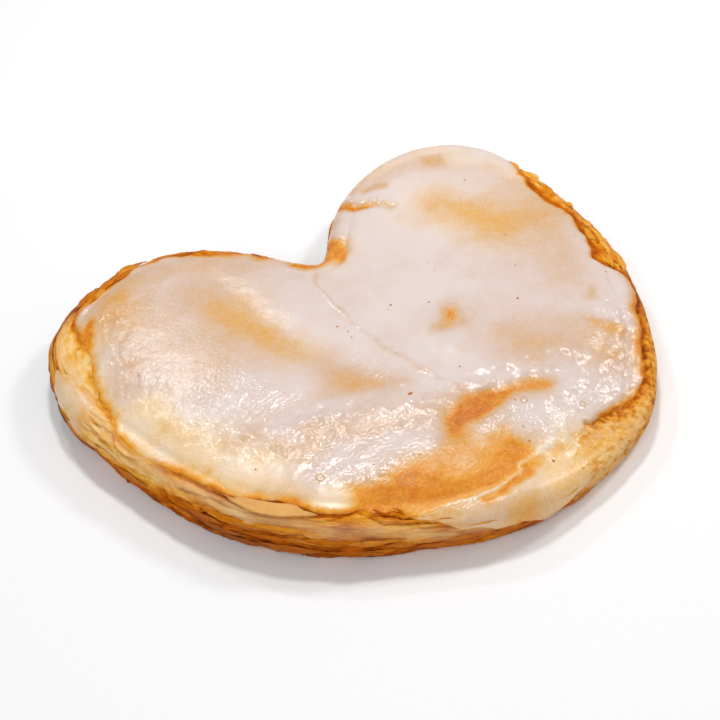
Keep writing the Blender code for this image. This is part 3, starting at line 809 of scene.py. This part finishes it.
def build_glaze(form, material):
    """The sugar glaze: a closed skin with a fine upper side and a coarse underside in the crust."""
    bearing, run, from_edge = glaze_sheet(form, GLAZE_CELLS)
    smooth = form.surface(bearing, run)
    plan = smooth[:, :2]
    cover = film_cover(plan, bearing, run, from_edge)
    sparkle = np.clip(0.1 + over_places(SPARKLE_PLACES, warped(plan, 4.0 * MM)), 0.0, 1.0)
    thickness = glaze_thickness(form, bearing, run, from_edge, plan, cover, sparkle)
    upper = smooth + thickness[:, None] * form.facing(bearing, run)
    cells = GLAZE_CELLS // COARSE_STEP
    low_bearing, low_run, low_edge = glaze_sheet(form, cells)
    lower = form.surface(low_bearing, low_run)
    sink = TUCK_DEPTH + 0.3 * MM * smooth_step(low_edge / (4.0 * MM))
    lower = lower - sink[:, None] * form.facing(low_bearing, low_run)
    first = len(upper)
    faces = square_faces(GLAZE_CELLS, 0, upward=True)
    faces += square_faces(cells, first, upward=False)
    faces += stepped_band(square_rim(GLAZE_CELLS), first + square_rim(cells), fine_is_lower=False)
    cream = np.clip(over_places(CREAM_PLACES, warped(plan, 3.0 * MM)), 0.0, 1.0)
    hidden = np.zeros(len(lower))
    attributes = {"cover": np.concatenate([cover, hidden + 1.0]),
                  "cream": np.concatenate([cream, hidden]),
                  "sparkle": np.concatenate([sparkle, hidden])}
    make_piece("glaze", np.vstack([upper, lower]), faces, attributes, material)
    return BVHTree.FromPolygons(upper.tolist(), square_faces(GLAZE_CELLS, 0, upward=True))


# ---------------------------------------------------------------- leaves, runs, specks and rings


def polar_sheet(rings, spokes):
    """Radius shares and angles of a round sheet's corners: the centre first, then each ring."""
    radius = np.repeat(np.arange(1, rings + 1) / rings, spokes)
    angle = np.tile(np.arange(spokes) * 2.0 * math.pi / spokes, rings)
    return np.concatenate([[0.0], radius]), np.concatenate([[0.0], angle])


def polar_faces(rings, spokes):
    """Faces of a closed lens made of two round sheets that share nothing but a rim band."""
    count = 1 + rings * spokes
    faces = []
    for spoke in range(spokes):
        after = (spoke + 1) % spokes
        faces.append([0, 1 + spoke, 1 + after])
        faces.append([count, count + 1 + after, count + 1 + spoke])
        for ring in range(rings - 1):
            a, b = 1 + ring * spokes + spoke, 1 + ring * spokes + after
            c, d = a + spokes, b + spokes
            faces.append([a, c, d, b])
            faces.append([count + a, count + b, count + d, count + c])
        rim, rim_after = 1 + (rings - 1) * spokes + spoke, 1 + (rings - 1) * spokes + after
        faces.append([rim, count + rim, count + rim_after, rim_after])
    return faces


def side_flake(form, bearing, run, half_along, half_down, lift, curl, thickness, seed):
    """Corners of one thin leaf lying on the side, its lower edge curled out."""
    rings, spokes = 4, 36
    radius, angle = polar_sheet(rings, spokes)
    ragged = 1.0 + 0.22 * layered_noise(np.column_stack([np.cos(angle), np.sin(angle)]), 0.45, seed, 3)
    across = radius * ragged * np.sin(angle)
    along = radius * ragged * np.cos(angle)
    across = across * (1.0 - 0.45 * along * along)
    start = np.interp(bearing, form.bearings, form.along)
    bearings = np.interp(start + half_along * along, form.along, form.bearings, period=form.perimeter)
    bend = 0.35 * half_down * lattice_noise(np.column_stack([along, 0.0 * along]), 0.8, seed + 3)
    runs = run + half_down * across + bend
    facing = form.facing(bearings, runs)
    out = lift + curl * np.maximum(across, 0.0) ** 1.5 - 0.9 * lift * np.maximum(-across, 0.0)
    out = out * (1.0 - 0.8 * np.abs(along) ** 3)
    outer = form.surface(bearings, runs) + out[:, None] * facing
    inner = outer - thickness * facing
    return np.vstack([outer, inner]), polar_faces(rings, spokes)


def build_flakes(form, material):
    """Loose baked leaves standing off the side, and the long lens-shaped one at the front left."""
    random = np.random.default_rng(12)
    points, faces, bake_and_shade, smear = [], [], [], []
    flakes = [(-154.0, 4.0, 20.0, 3.4, 0.5, 1.0, -0.10, 0.5)]
    for _ in range(FLAKE_COUNT):
        bearing = random.uniform(-180.0, 180.0)
        if -92.0 < bearing < -30.0 or 68.0 < bearing < 108.0:
            continue
        flakes.append((bearing, random.uniform(11.0, 25.0), random.uniform(6.0, 18.0),
                       random.uniform(0.7, 1.3), random.uniform(0.3, 0.8), random.uniform(0.2, 0.8),
                       random.uniform(-0.14, 0.10), random.uniform(0.0, 0.1)))
    for start, end in RIM_FLAKE_BEARINGS:
        for _ in range(RIM_FLAKE_COUNT):
            flakes.append((random.uniform(start, end), random.uniform(2.5, 11.0), random.uniform(3.0, 8.0),
                           random.uniform(0.8, 1.6), random.uniform(0.3, 0.7), random.uniform(0.2, 1.1),
                           random.uniform(-0.16, 0.14), random.uniform(0.0, 0.1)))
    total = 0
    for number, (bearing, run, along, down, lift, curl, brown, white) in enumerate(flakes):
        corners, own = side_flake(form, math.radians(bearing), run * MM, along * MM, down * MM,
                                  lift * MM, curl * MM, 0.4 * MM, 900 + 7 * number)
        corners[:, 2] = np.maximum(corners[:, 2], 0.2 * MM)
        points.append(corners)
        faces += [[corner + total for corner in face] for face in own]
        total += len(corners)
        bake_and_shade.append(brown + side_bake_and_shade(np.full(len(corners), math.radians(bearing)), corners[:, 2]))
        smear.append(np.full(len(corners), white))
    attributes = {"bake_and_shade": np.concatenate(bake_and_shade), "smear": np.concatenate(smear)}
    return make_piece("flakes", np.vstack(points), faces, attributes, material)


def build_side_run(form, material):
    """The smooth pad of glaze that has dried on the outer side of the left lobe."""
    rings, spokes = 26, 96
    radius, angle = polar_sheet(rings, spokes)
    rim = 1.0 + 0.22 * lattice_noise(np.column_stack([np.cos(angle), np.sin(angle)]), 0.7, 77)
    across = radius * rim * np.sin(angle)
    along = radius * rim * np.cos(angle)
    start = np.interp(math.radians(RUN_BEARING), form.bearings, form.along)
    bearings = np.interp(start + RUN_HALF_ALONG * along, form.along, form.bearings, period=form.perimeter)
    runs = RUN_MIDDLE + RUN_HALF_DOWN * across + 2.5 * MM * along * along
    facing = form.facing(bearings, runs)
    place = form.surface(bearings, runs)
    swell = 1.0 + 0.45 * layered_noise(place, 9.0 * MM, 83, 3)
    lower_lip = smooth_step(0.5 + across)
    out = RUN_LIFT * swell * (1.0 - radius**2) ** (1.3 - 0.7 * lower_lip) - 0.5 * MM * radius**6
    outer = place + out[:, None] * facing
    inner = place - 1.2 * MM * facing
    cover = np.clip(0.58 - 0.2 * radius**4 + 0.2 * layered_noise(place, 12.0 * MM, 84, 2), 0.0, 1.0)
    attributes = {"cover": np.concatenate([cover, cover]), "cream": np.full(2 * len(cover), 0.6),
                  "sparkle": np.zeros(2 * len(cover))}
    return make_piece("glaze_run", np.vstack([outer, inner]), polar_faces(rings, spokes),
                      attributes, material)


def drape(tree, plan):
    """Heights of a mesh's top at plan points."""
    down = Vector((0.0, 0.0, -1.0))
    heights = []
    for x, y in plan:
        hit = tree.ray_cast(Vector((x, y, 1.0)), down)[0]
        if hit is None:
            hit = tree.find_nearest(Vector((x, y, HIGH[2])))[0]
        heights.append(hit.z)
    return np.array(heights)


def build_specks(tree, material):
    """Small browned specks of sugar and pinholes in the glaze."""
    random = np.random.default_rng(31)
    places = [(np.array(place), size) for place, size in SPECKS]
    for _ in range(FINE_SPECKS):
        turn, reach = random.uniform(0.0, 2.0 * math.pi), 0.72 * math.sqrt(random.uniform(0.0, 1.0))
        places.append((np.array([reach * math.cos(turn), reach * math.sin(turn) - 0.05]),
                       random.uniform(0.22, 0.42)))
    rings, spokes = 3, 10
    radius, angle = polar_sheet(rings, spokes)
    points, faces = [], []
    total = 0
    for place, size in places:
        squash = random.uniform(0.6, 1.0)
        turn = random.uniform(0.0, math.pi)
        x, y = radius * np.cos(angle), squash * radius * np.sin(angle)
        plan = np.column_stack([x * math.cos(turn) - y * math.sin(turn),
                                x * math.sin(turn) + y * math.cos(turn)]) * size * MM + place * HALF
        height = drape(tree, plan)
        dome = 0.22 * MM * size * (1.0 - radius**2) - 0.05 * MM * radius
        upper = np.column_stack([plan, height + dome])
        lower = np.column_stack([plan, height - 0.4 * MM])
        points.append(np.vstack([upper, lower]))
        faces += [[corner + total for corner in face] for face in polar_faces(rings, spokes)]
        total += 2 * len(plan)
    return make_piece("specks", np.vstack(points), faces, {}, material)


def build_rings(tree, material):
    """Rims of burst bubbles in the glaze."""
    around, section = 40, 10
    points, faces = [], []
    total = 0
    for number, (place, size, thick) in enumerate(BUBBLES):
        turn = np.repeat(np.arange(around) * 2.0 * math.pi / around, section)
        tube = np.tile(np.arange(section) * 2.0 * math.pi / section, around)
        wobble = 1.0 + 0.10 * lattice_noise(np.column_stack([np.cos(turn), np.sin(turn)]), 0.6, 60 + number)
        reach = (size * wobble + thick * np.cos(tube)) * MM
        plan = np.column_stack([reach * np.cos(turn), reach * np.sin(turn)]) + np.array(place) * HALF
        height = drape(tree, plan) + thick * MM * (0.8 * np.sin(tube) + 0.1)
        points.append(np.column_stack([plan, height]))
        for i in range(around):
            for j in range(section):
                a, b = i * section + j, ((i + 1) % around) * section + j
                c, d = i * section + (j + 1) % section, ((i + 1) % around) * section + (j + 1) % section
                faces.append([total + a, total + b, total + d, total + c])
        total += around * section
    count = total
    attributes = {"cover": np.full(count, 0.45), "cream": np.full(count, 0.3), "sparkle": np.ones(count)}
    return make_piece("bubble_rings", np.vstack(points), faces, attributes, material)


# ---------------------------------------------------------------- materials


class Graph:
    """A material's nodes, added and wired in one call each."""

    def __init__(self, name):
        self.material = bpy.data.materials.new(name)
        self.material.use_nodes = True
        self.nodes = self.material.node_tree.nodes
        self.links = self.material.node_tree.links
        self.shader = self.nodes["Principled BSDF"]

    def wire(self, value, socket):
        if isinstance(value, bpy.types.NodeSocket):
            self.links.new(value, socket)
        else:
            socket.default_value = value

    def attribute(self, name):
        node = self.nodes.new("ShaderNodeAttribute")
        node.attribute_name = name
        return node.outputs["Fac"]

    def place(self, stretch=(1.0, 1.0, 1.0)):
        node = self.nodes.new("ShaderNodeMapping")
        self.links.new(self.nodes.new("ShaderNodeTexCoord").outputs["Object"], node.inputs["Vector"])
        node.inputs["Scale"].default_value = stretch
        return node.outputs["Vector"]

    def noise(self, vector, size, detail=3.0, roughness=0.5):
        node = self.nodes.new("ShaderNodeTexNoise")
        self.links.new(vector, node.inputs["Vector"])
        node.inputs["Scale"].default_value = 1.0 / size
        node.inputs["Detail"].default_value = detail
        node.inputs["Roughness"].default_value = roughness
        return node.outputs["Fac"]

    def math(self, operation, a, b):
        node = self.nodes.new("ShaderNodeMath")
        node.operation = operation
        self.wire(a, node.inputs[0])
        self.wire(b, node.inputs[1])
        return node.outputs["Value"]

    def ramp(self, factor, stops):
        node = self.nodes.new("ShaderNodeValToRGB")
        elements = node.color_ramp.elements
        while len(elements) < len(stops):
            elements.new(0.5)
        for element, (position, colour) in zip(elements, stops):
            element.position = position
            element.color = (*colour, 1.0)
        self.wire(factor, node.inputs["Fac"])
        return node.outputs["Color"]

    def mix(self, factor, a, b):
        node = self.nodes.new("ShaderNodeMix")
        node.data_type = "RGBA"
        self.wire(factor, node.inputs["Factor"])
        self.wire(a, node.inputs["A"])
        self.wire(b, node.inputs["B"])
        return node.outputs["Result"]

    def blend(self, factor, a, b):
        node = self.nodes.new("ShaderNodeMix")
        self.wire(factor, node.inputs["Factor"])
        self.wire(a, node.inputs["A"])
        self.wire(b, node.inputs["B"])
        return node.outputs["Result"]

    def bump(self, height, distance, strength=1.0):
        node = self.nodes.new("ShaderNodeBump")
        node.inputs["Strength"].default_value = strength
        node.inputs["Distance"].default_value = distance
        self.wire(height, node.inputs["Height"])
        self.links.new(node.outputs["Normal"], self.shader.inputs["Normal"])

    def set(self, **values):
        for name, value in values.items():
            self.wire(value, self.shader.inputs[name.replace("_", " ")])


def linear(red, green, blue):
    """A colour given as the eye reads it, 0 to 255, turned to the shader's linear values."""
    return tuple((c / 255.0 / 12.92) if c < 10.3 else ((c / 255.0 + 0.055) / 1.055) ** 2.4
                 for c in (red, green, blue))


def glaze_material():
    graph = Graph("sugar_glaze")
    place = graph.place()
    film = graph.attribute("cover")
    sparkle = graph.attribute("sparkle")
    thin = graph.math("SUBTRACT", 1.0, film)
    cloud = graph.noise(place, 8.0 * MM, 4.0, 0.65)
    cover = graph.math("ADD", film, graph.math("MULTIPLY", cloud, 0.28))
    mottle = graph.math("SUBTRACT", graph.noise(place, 1.5 * MM, 4.0, 0.65), 0.5)
    uneven = graph.math("ADD", 0.20, graph.math("MULTIPLY", thin, 0.60))
    cover = graph.math("ADD", cover, graph.math("MULTIPLY", mottle, uneven))
    cover = graph.math("SUBTRACT", cover, 0.14)
    calm = graph.math("MULTIPLY", graph.math("SUBTRACT", 1.0, sparkle), 0.14)
    calm = graph.math("ADD", calm, graph.math("MULTIPLY", graph.attribute("cream"), 0.08))
    calm = graph.math("ADD", calm, 0.04)
    dull = graph.math("ADD", 0.08, graph.math("MULTIPLY", calm, film))
    matt = graph.math("MULTIPLY", graph.math("POWER", thin, 3.0), 0.42)
    dull = graph.math("ADD", dull, matt)
    pink = graph.ramp(cover, [
        (0.00, linear(202, 106, 2)), (0.20, linear(221, 141, 27)), (0.42, linear(216, 166, 106)),
        (0.62, linear(213, 180, 152)), (0.82, linear(219, 196, 183)), (1.00, linear(224, 208, 202)),
    ])
    yellow = graph.ramp(cover, [
        (0.00, linear(222, 130, 4)), (0.25, linear(236, 162, 40)), (0.50, linear(232, 182, 110)),
        (0.75, linear(240, 208, 163)), (1.00, linear(243, 221, 197)),
    ])
    colour = graph.mix(graph.attribute("cream"), pink, yellow)
    graph.set(Base_Color=colour, Roughness=dull, IOR=1.40, Subsurface_Weight=0.1,
              Subsurface_Scale=0.0015)
    graph.shader.inputs["Subsurface Radius"].default_value = (1.0, 0.7, 0.5)
    lively = graph.math("MULTIPLY", sparkle, graph.math("ADD", 0.2, graph.math("MULTIPLY", film, 0.8)))
    ripple = graph.math("MULTIPLY", graph.noise(place, 1.8 * MM, 2.0, 0.5), lively)
    wrinkle = graph.math("MULTIPLY", graph.noise(graph.place((0.7, 1.5, 1.0)), 1.8 * MM, 4.0, 0.6), thin)
    graph.bump(graph.math("ADD", ripple, graph.math("MULTIPLY", wrinkle, 0.9)), 0.44 * MM)
    return graph.material


def crust_material():
    graph = Graph("baked_crust")
    streaks = graph.noise(graph.place((0.6, 0.6, 3.0)), 2.8 * MM, 7.0, 0.68)
    crumb = graph.noise(graph.place(), 1.3 * MM, 4.0, 0.65)
    grain = graph.blend(graph.attribute("porous"), streaks, crumb)
    bake_and_shade = graph.math("ADD", graph.attribute("bake_and_shade"), graph.math("MULTIPLY", grain, 0.52))
    bake_and_shade = graph.math("SUBTRACT", bake_and_shade, 0.26)
    # The ramp's strong golden saturation is partly the crust's own colour, partly painted warm light reflected
    # from below.
    colour = graph.ramp(bake_and_shade, [
        (0.00, linear(245, 206, 142)), (0.20, linear(236, 172, 64)), (0.42, linear(214, 126, 8)),
        (0.62, linear(180, 88, 2)), (0.82, linear(138, 60, 2)), (1.00, linear(88, 34, 2)),
    ])
    colour = graph.mix(graph.attribute("smear"), colour, (*linear(230, 188, 132), 1.0))
    graph.set(Base_Color=colour, Roughness=0.42, IOR=1.45, Specular_IOR_Level=0.05,
              Subsurface_Weight=0.12, Subsurface_Scale=0.0015)
    graph.shader.inputs["Subsurface Radius"].default_value = (1.0, 0.5, 0.25)
    graph.bump(grain, 0.65 * MM)
    return graph.material


def speck_material():
    graph = Graph("browned_speck")
    shade = graph.noise(graph.place(), 1.2 * MM, 3.0)
    colour = graph.ramp(shade, [(0.3, linear(206, 130, 50)), (0.7, linear(172, 94, 26))])
    graph.set(Base_Color=colour, Roughness=0.3, IOR=1.45)
    graph.bump(shade, 0.1 * MM)
    return graph.material


# ---------------------------------------------------------------- the stage


def floor_material():
    graph = Graph("pale_floor")
    speck = graph.noise(graph.place(), 3.0 * MM, 2.0)
    graph.set(Base_Color=graph.ramp(speck, [(0.0, (0.91, 0.91, 0.91)), (1.0, (0.94, 0.94, 0.94))]),
              Roughness=0.7)
    return graph.material


def build_floor():
    half = 3.0
    corners = [(-half, -half, 0.0), (half, -half, 0.0), (half, half, 0.0), (-half, half, 0.0)]
    mesh = bpy.data.meshes.new("floor")
    mesh.from_pydata(corners, [], [(0, 1, 2, 3)])
    mesh.materials.append(floor_material())
    floor = bpy.data.objects.new("floor", mesh)
    bpy.context.scene.collection.objects.link(floor)


# Camera, as a bearing in plan, a height angle and a small roll.
LOOK = Vector((0.6, 0.8, 0.0))
LOOK_DOWN = math.radians(43.0)
ROLL = math.radians(6.0)
LENS = 72.5
SENSOR = 36.0
CAMERA_DISTANCE = 0.689
AIM = Vector((-0.0079, 0.0091, 0.0))


def camera_axes():
    level_right = Vector((LOOK.y, -LOOK.x, 0.0))
    forward = LOOK * math.cos(LOOK_DOWN) - Vector((0.0, 0.0, math.sin(LOOK_DOWN)))
    level_up = level_right.cross(forward)
    right = math.cos(ROLL) * level_right - math.sin(ROLL) * level_up
    up = math.sin(ROLL) * level_right + math.cos(ROLL) * level_up
    return right, up, forward


def build_camera():
    right, up, forward = camera_axes()
    data = bpy.data.cameras.new("camera")
    data.lens = LENS
    data.sensor_width = SENSOR
    camera = bpy.data.objects.new("camera", data)
    matrix = Matrix((right, up, -forward)).transposed().to_4x4()
    matrix.translation = AIM - forward * CAMERA_DISTANCE
    camera.matrix_world = matrix
    bpy.context.scene.collection.objects.link(camera)
    bpy.context.scene.camera = camera


# Lamps: turn from the camera's bearing, height angle, distance, size and strength.
LAMPS = {
    "high_behind": (-6.0, 67.0, 1.1, 0.16, 4.1),
    "right_side": (-60.0, 43.0, 1.1, 0.18, 3.0),
    "left_side": (24.0, 46.0, 1.1, 0.08, 1.3),
    "front_fill": (165.0, 45.0, 1.6, 0.9, 8.6),
}


def build_lamps():
    for name, (turn, height, distance, size, strength) in LAMPS.items():
        data = bpy.data.lights.new(name, "AREA")
        data.shape = "DISK"
        data.size = size
        data.energy = strength
        data.color = (0.99, 0.99, 1.0)
        lamp = bpy.data.objects.new(name, data)
        spin = Matrix.Rotation(math.radians(turn), 3, "Z")
        level = spin @ LOOK
        rise = math.radians(height)
        toward = level * math.cos(rise) + Vector((0.0, 0.0, math.sin(rise)))
        lamp.location = toward * distance
        lamp.rotation_euler = (-toward).to_track_quat("-Z", "Y").to_euler()
        bpy.context.scene.collection.objects.link(lamp)


def build_world():
    world = bpy.data.worlds.new("world")
    bpy.context.scene.world = world
    world.use_nodes = True
    background = world.node_tree.nodes["Background"]
    background.inputs["Color"].default_value = (1.0, 1.0, 1.0, 1.0)
    background.inputs["Strength"].default_value = 0.33


def main():
    bpy.context.scene.view_settings.view_transform = "Standard"
    form = Form(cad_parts[NODE])
    baked = crust_material()
    sugar = glaze_material()
    build_crust(form, baked)
    build_flakes(form, baked)
    glaze_top = build_glaze(form, sugar)
    build_side_run(form, sugar)
    build_rings(glaze_top, sugar)
    build_specks(glaze_top, speck_material())
    build_floor()
    build_camera()
    build_lamps()
    build_world()


main()
